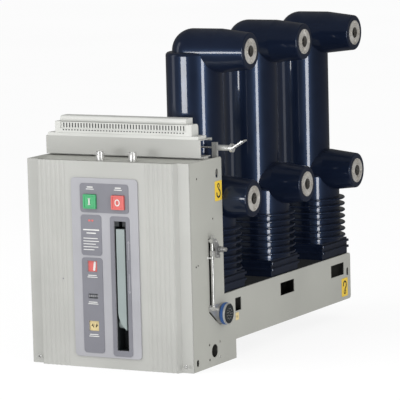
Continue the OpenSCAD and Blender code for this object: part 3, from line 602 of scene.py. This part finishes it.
# %% Travel marks
lever_lo, lever_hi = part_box("lever_field")
tray_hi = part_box("lever_tray")[1]
margin_u = ((lever_hi.x + tray_hi.x) / 2 - (lever_lo.x + lever_hi.x) / 2) / MM
lines = [stroke([(margin_u, 62), (margin_u, 104)], 1.4), stroke([(margin_u, -14), (margin_u, 30)], 1.4),
         stroke([(margin_u - 2.6, 99), (margin_u, 105), (margin_u + 2.6, 99)], 1.3),
         stroke([(margin_u - 2.6, -9), (margin_u, -15), (margin_u + 2.6, -9)], 1.3)]
flat_piece("lever_travel_marks", lines, PRINT, front_of("lever_field"), "panel_plastic")
print("margin beside the slot:", round(margin_u, 1), "mm from the field's middle")

# %% [markdown]
# ## Lifting labels
# Two yellow plates show where a crane hook may be hung: one beside the slot at the housing's top, one
# beside the slot at the chassis's far end. Each is a plate of its own with softly broken edges, and the
# hook on it is a bent stroke under a ring.

# %% Hook labels
def on_right(face_x, middle_y, middle_z, flip=1):
    """A place on a face that looks to the right, in millimetres from its middle."""
    return lambda u, v, out: Vector((face_x + out * MM, middle_y + u * MM, middle_z + flip * v * MM))


def hook_label(name, face_x, middle_y, middle_z, flip):
    """A yellow plate with a hook; flip -1 turns the hook upside down."""
    where = on_right(face_x, middle_y, middle_z, flip)
    flat_piece(name + "_plate", [rounded_rectangle(0, 0, 33, 45, 2.5)], 0.8, where, "yellow_label",
               bevel=0.2 * MM)
    bow = [(0, 7), (1.5, 3.5)] + arc(0, -6, 8, 8.5, 50, -200, 24)
    flat_piece(name + "_hook", [stroke(bow, 4.0), stroke(arc(0, 11.5, 4.4, 4.6, -70, 240), 2.8)], 1.1, where,
               "dark_print")


housing_label_z = housing_foot + 394 * MM
chassis_label_z = chassis_lo.z + 31.5 * MM
hook_label("housing_hook", side_hi.x, side_lo.y + 133.5 * MM, housing_label_z, 1)
hook_label("chassis_hook", chassis_hi.x, chassis_hi.y - 35 * MM, chassis_label_z, -1)
print("labels at z =", round(housing_label_z, 3), "and", round(chassis_label_z, 3))

# %% [markdown]
# ## Screws
# Pan-head screws with a socket hold the cover, and a small plug closes a hole in it. A screw head is a lathe
# part: a short wall, a rounded shoulder, and the socket sunk in the middle. Two helpers turn millimetres on
# the cover and on the side plate into points.

# %% Screws in the cover and the side
def screw(name, place_point, axis, radius, finish="zinc_steel"):
    """A pan-head screw with a round socket, its washer face at the point."""
    r = radius * MM
    profile = [(r, -0.2 * MM), (r, 0.25 * r), (r * 0.9, 0.42 * r), (r * 0.66, 0.52 * r),
               (r * 0.46, 0.52 * r), (r * 0.42, 0.15 * r), (0, 0.12 * r)]
    return turned_piece(name, profile, place_point, axis, finish, segments=24)


FRONTWARD, RIGHTWARD, UPWARD = (0, -1, 0), (1, 0, 0), (0, 0, 1)


def cover_point(across, up):
    """A point on the cover's front, in millimetres from the middle of its lower edge."""
    return Vector((housing_mid_x + across * MM, cover_lo.y, housing_foot + up * MM))


def side_point(back, up):
    """A point on the right side plate, in millimetres from its lower front corner."""
    return Vector((side_hi.x, side_lo.y + back * MM, housing_foot + up * MM))


screw("cover_screw_1", cover_point(-183, 17), FRONTWARD, 4.4)
screw("cover_screw_2", cover_point(196, 17), FRONTWARD, 4.4)
screw("cover_plug", cover_point(-115, 200), FRONTWARD, 1.6, "field_plastic")
screw("side_screw", side_point(20, 236), RIGHTWARD, 1.9, "dark_print")
print("screws stand on the cover at y =", round(cover_lo.y, 4))

# %% [markdown]
# ## Small parts on the right side
# A pale stop pin stands beside the link rod, a fork reaches over the rod's top, and a small sticker with two
# marks is on the chassis behind the connector. The pin is turned; the fork and the sticker are cut from flat
# stock, as they would be in a workshop.

# %% Stop pin, fork and sticker
rod_top = side_point(82, 289)
fork = on_right(rod_top.x + 8 * MM, rod_top.y, rod_top.z)
prongs = [stroke([(-5, 13), (0, 0)], 2.4), stroke([(6, 12), (0, 0)], 2.4)]
flat_piece("rod_fork", prongs, 2.5, fork, "zinc_steel", bevel=0.3 * MM)
pin = [(3.0 * MM, -0.2 * MM), (3.0 * MM, 1 * MM), (1.75 * MM, 1.6 * MM), (1.75 * MM, 8.2 * MM),
       (1.2 * MM, 9 * MM), (0, 9 * MM)]
turned_piece("stop_pin", pin, side_point(75, 249), RIGHTWARD, "white_print")
sticker = on_right(chassis_hi.x, pole_ys[0] + 12 * MM, chassis_lo.z + 51.5 * MM)
flat_piece("chassis_sticker", [rounded_rectangle(0, 0, 21, 17, 1.5)], 0.4, sticker, "cream_plastic")
flat_piece("chassis_sticker_marks", [rectangle(-4, 0, 1.6, 5), rectangle(4, -1, 1.6, 5)], 0.6, sticker,
           "dark_print")
print("rod top at", [round(v, 3) for v in rod_top])

# %% [markdown]
# ## Sleeves on the posts
# Two posts stand on the roof in front of the duct. Each wears a plated sleeve that is turned with a small
# chamfer at its top and slipped over the post.

# %% Sleeves on the interlock posts
posts_lo, posts_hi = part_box("interlock_posts")
post_y = (posts_lo.y + posts_hi.y) / 2
post_radius = (posts_hi.y - posts_lo.y) / 2
for k, x in enumerate((posts_lo.x + post_radius, posts_hi.x - post_radius)):
    foot = Vector((x, post_y, posts_lo.z))
    tall = posts_hi.z - posts_lo.z
    inner, outer = post_radius - 1 * MM, post_radius + 2.2 * MM
    sleeve = [(inner, 0), (outer, 0), (outer, tall - 2 * MM), (outer - 0.8 * MM, tall - 1.2 * MM),
              (inner, tall - 1.2 * MM)]
    turned_piece(f"post_sleeve_{k + 1}", sleeve, foot, UPWARD, "zinc_steel")
print("posts stand", round(tall / MM), "mm tall, radius", round(post_radius / MM, 1), "mm")

# %% [markdown]
# ## Terminal clamps
# Each way of the terminal strip holds a clamp, set back behind the plastic so that no finger touches it. The
# clamps are made near black as painted shade, for the shade deep inside the ways. The ways are evenly spaced,
# so one loop places them all.

# %% Clamps in the ways
strip_lo, strip_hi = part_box("terminal_strip")
ways = 42
way_pitch = (strip_hi.x - strip_lo.x) / MM / (ways + 1)
body_h = (strip_hi.z - strip_lo.z) / MM
low_h = body_h * 0.4
strip_mid_x = (strip_lo.x + strip_hi.x) / 2
tall, small = [], []
for k in range(1, ways + 1):
    u = (k - (ways + 1) / 2) * way_pitch
    tall.append(rectangle(u, low_h + 2 + body_h * 0.21, way_pitch * 0.41, body_h * 0.41))
    small.append(rectangle(u, low_h - 3.3, way_pitch * 0.48, 2.5))
# The clamps take the near-black print colour as painted shade for the deep ways.
flat_piece("tall_clamps_painted_shade", tall, 5.0, on_front(strip_lo.y + 8.9 * MM, strip_mid_x, strip_lo.z), "dark_print")
flat_piece("small_clamps_painted_shade", small, 5.0, on_front(strip_lo.y + 5.9 * MM, strip_mid_x, strip_lo.z), "dark_print")
print("clamps:", len(tall) + len(small))

# %% [markdown]
# ## Connector
# The control cable plugs into a round connector on the side. Its coupling ring is blue plastic with a
# knurl for the fingers, and the dark face inside a plated rim carries two rings of pins. The knurl is a
# turned ring whose radius steps in and out from one segment to the next.

# %% Coupling ring and pins
shell_lo, shell_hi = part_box("connector_shell")
plug_y, plug_z = (shell_lo.y + shell_hi.y) / 2, (shell_lo.z + shell_hi.z) / 2
shell_r = (shell_hi.z - shell_lo.z) / 2
plug_end = Vector((shell_hi.x, plug_y, plug_z))
seat = shell_r - 0.3 * MM
ring_top = shell_r + 2.3 * MM
ring_back, ring_front = -13 * MM, -5.5 * MM
ring = [(seat, ring_back), (ring_top - 0.7 * MM, ring_back), (ring_top, ring_back + 1 * MM),
        (ring_top, ring_front - 1 * MM), (ring_top - 0.7 * MM, ring_front), (seat, ring_front)]
turned_piece("coupling_ring", ring, plug_end, RIGHTWARD, "blue_plastic", segments=96, knurl=0.25 * MM)
rim_top = shell_r + 1.8 * MM
rim = [(seat, -5 * MM), (rim_top - 0.4 * MM, -5 * MM), (rim_top, -4 * MM), (rim_top, -1.5 * MM),
       (seat, -0.5 * MM)]
turned_piece("shell_rim", rim, plug_end, RIGHTWARD, "zinc_steel", segments=64)
face_out = 0.4 * MM
face_r = shell_r - 1.2 * MM
face = [(face_r, -1 * MM), (face_r, 0), (face_r - 1.3 * MM, face_out), (0, face_out)]
turned_piece("plug_face", face, plug_end, RIGHTWARD, "black_plastic", segments=64)
contact_pin = [(1.1 * MM, -0.3 * MM), (1.1 * MM, 0.2 * MM), (0.7 * MM, 0.5 * MM), (0, 0.6 * MM)]
pins = 0
for radius, count in ((5.0, 5), (12.0, 11)):
    for k in range(count):
        angle = 2 * math.pi * k / count
        spot = plug_end + Vector((face_out, radius * MM * math.cos(angle), radius * MM * math.sin(angle)))
        pins += 1
        turned_piece(f"pin_{pins}", contact_pin, spot, RIGHTWARD, "zinc_steel", segments=10)
print("pins in the connector:", pins)

# %% [markdown]
# ## Floor, light and camera
# The breaker stands as for a catalogue, on a plain floor that glows a little so that its shadows stay
# faint. The world is bright to look at but dim in mirrors, and the floor can't be seen in them at all, so
# the dark poles stay dark.

# %% Floor and world
floor_z = housing_foot - 0.5 * MM
bpy.ops.mesh.primitive_plane_add(size=60, location=(0, 0, floor_z))
floor = bpy.context.object
floor.name = "floor"
floor_finish, floor_tree, floor_shader = new_finish("floor")
floor_tree.links.new(mix_colours(floor_tree, remap(floor_tree, noise(floor_tree, 0.7), 0.0, 1.0),
                                 (0.12, 0.12, 0.12), (0.13, 0.13, 0.13)), floor_shader.inputs["Base Color"])
floor_shader.inputs["Roughness"].default_value = 0.9
floor_shader.inputs["Specular IOR Level"].default_value = 0.0
floor_shader.inputs["Emission Color"].default_value = (1.0, 1.0, 1.0, 1.0)
floor_shader.inputs["Emission Strength"].default_value = 0.87
floor.visible_glossy = False
floor.data.materials.append(floor_finish)
floor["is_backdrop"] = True

world = bpy.data.worlds.new("studio")
bpy.context.scene.world = world
world.use_nodes = True
sky = world.node_tree.nodes["Background"]
rays = world.node_tree.nodes.new("ShaderNodeLightPath")
dimmed = math_node(world.node_tree, "MULTIPLY", rays.outputs["Is Glossy Ray"], -0.70)
seen = math_node(world.node_tree, "MULTIPLY", rays.outputs["Is Camera Ray"], 0.20)
strength = math_node(world.node_tree, "ADD", math_node(world.node_tree, "ADD", 0.80, dimmed), seen)
sky.inputs["Color"].default_value = (1.0, 1.0, 1.0, 1.0)
world.node_tree.links.new(strength, sky.inputs["Strength"])
bpy.context.scene.view_settings.view_transform = "Standard"
print("floor at", round(floor_z, 4), "m")

# %% [markdown]
# ## Lamps
# A broad key lamp stands above and to the left. It lights the sheets but is kept out of reflections,
# because it would whiten the tops of the arms. A tall narrow lamp to the right draws the long gleam down
# each pole, a wide low one in front draws the gleam on the first pole's shoulder, and a weak one fills
# the shade on the left.

# %% Lamps
def seen_from(azimuth, elevation):
    """The direction towards an onlooker, azimuth from the front to the right, in degrees."""
    a, e = math.radians(azimuth), math.radians(elevation)
    return Vector((math.sin(a) * math.cos(e), -math.cos(a) * math.cos(e), math.sin(e)))


def soft_lamp(name, azimuth, elevation, distance, size, power, aim):
    """A rectangular lamp on a sphere round the aim, facing it."""
    back = seen_from(azimuth, elevation)
    data = bpy.data.lights.new(name, "AREA")
    data.shape = "RECTANGLE"
    data.size, data.size_y = size
    data.energy = power
    lamp = bpy.data.objects.new(name, data)
    lamp.location = aim + back * distance
    lamp.rotation_euler = (-back).to_track_quat("-Z", "Y").to_euler()
    bpy.context.collection.objects.link(lamp)
    return lamp


middle = (cad_box[0] + cad_box[1]) / 2
key = soft_lamp("key_above_left", -30, 45, 3.2, (1.8, 1.8), 34, middle)
key.visible_glossy = False
soft_lamp("strip_right", 53.0, 0, 2.2, (0.42, 1.5), 22, Vector((0.0, 0.0, 0.30)))
soft_lamp("strip_front", -16, 0, 2.2, (0.9, 0.34), 11.0, Vector((0.0, pole_ys[0], 0.45)))
soft_lamp("fill_left", -62, 12, 3.0, (0.8, 2.4), 5, middle)
print("lamps:", len(bpy.data.lights))

# %% [markdown]
# ## Camera
# A long lens from far away keeps upright edges nearly parallel, as catalogue pictures do. The small roll
# copies a camera that stands slightly askew.

# %% Camera
def aim_camera(azimuth, elevation, roll, target, distance, lens):
    """A long lens on a sphere round the target."""
    back = seen_from(azimuth, elevation)
    data = bpy.data.cameras.new("camera")
    data.lens = lens
    data.sensor_width = 36.0
    data.clip_end = 200.0
    camera = bpy.data.objects.new("camera", data)
    turn = (-back).to_track_quat("-Z", "Y").to_matrix() @ Matrix.Rotation(math.radians(roll), 3, "Z")
    camera.matrix_world = Matrix.Translation(target + back * distance) @ turn.to_4x4()
    bpy.context.collection.objects.link(camera)
    bpy.context.scene.camera = camera
    return camera


target = Vector((-0.0451, -0.180, 0.3041))
aim_camera(28.21, 7.37, -1.44, target, 6.962, 270.0)
print("camera looks at", [round(v, 3) for v in target])

# %% Measure how far the dressed box grew
dressed_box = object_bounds()
grown = max(abs(a - b) for one, two in zip(cad_box, dressed_box) for a, b in zip(one, two))
print("the dressed box differs by", round(grown / MM, 3), "mm at most")
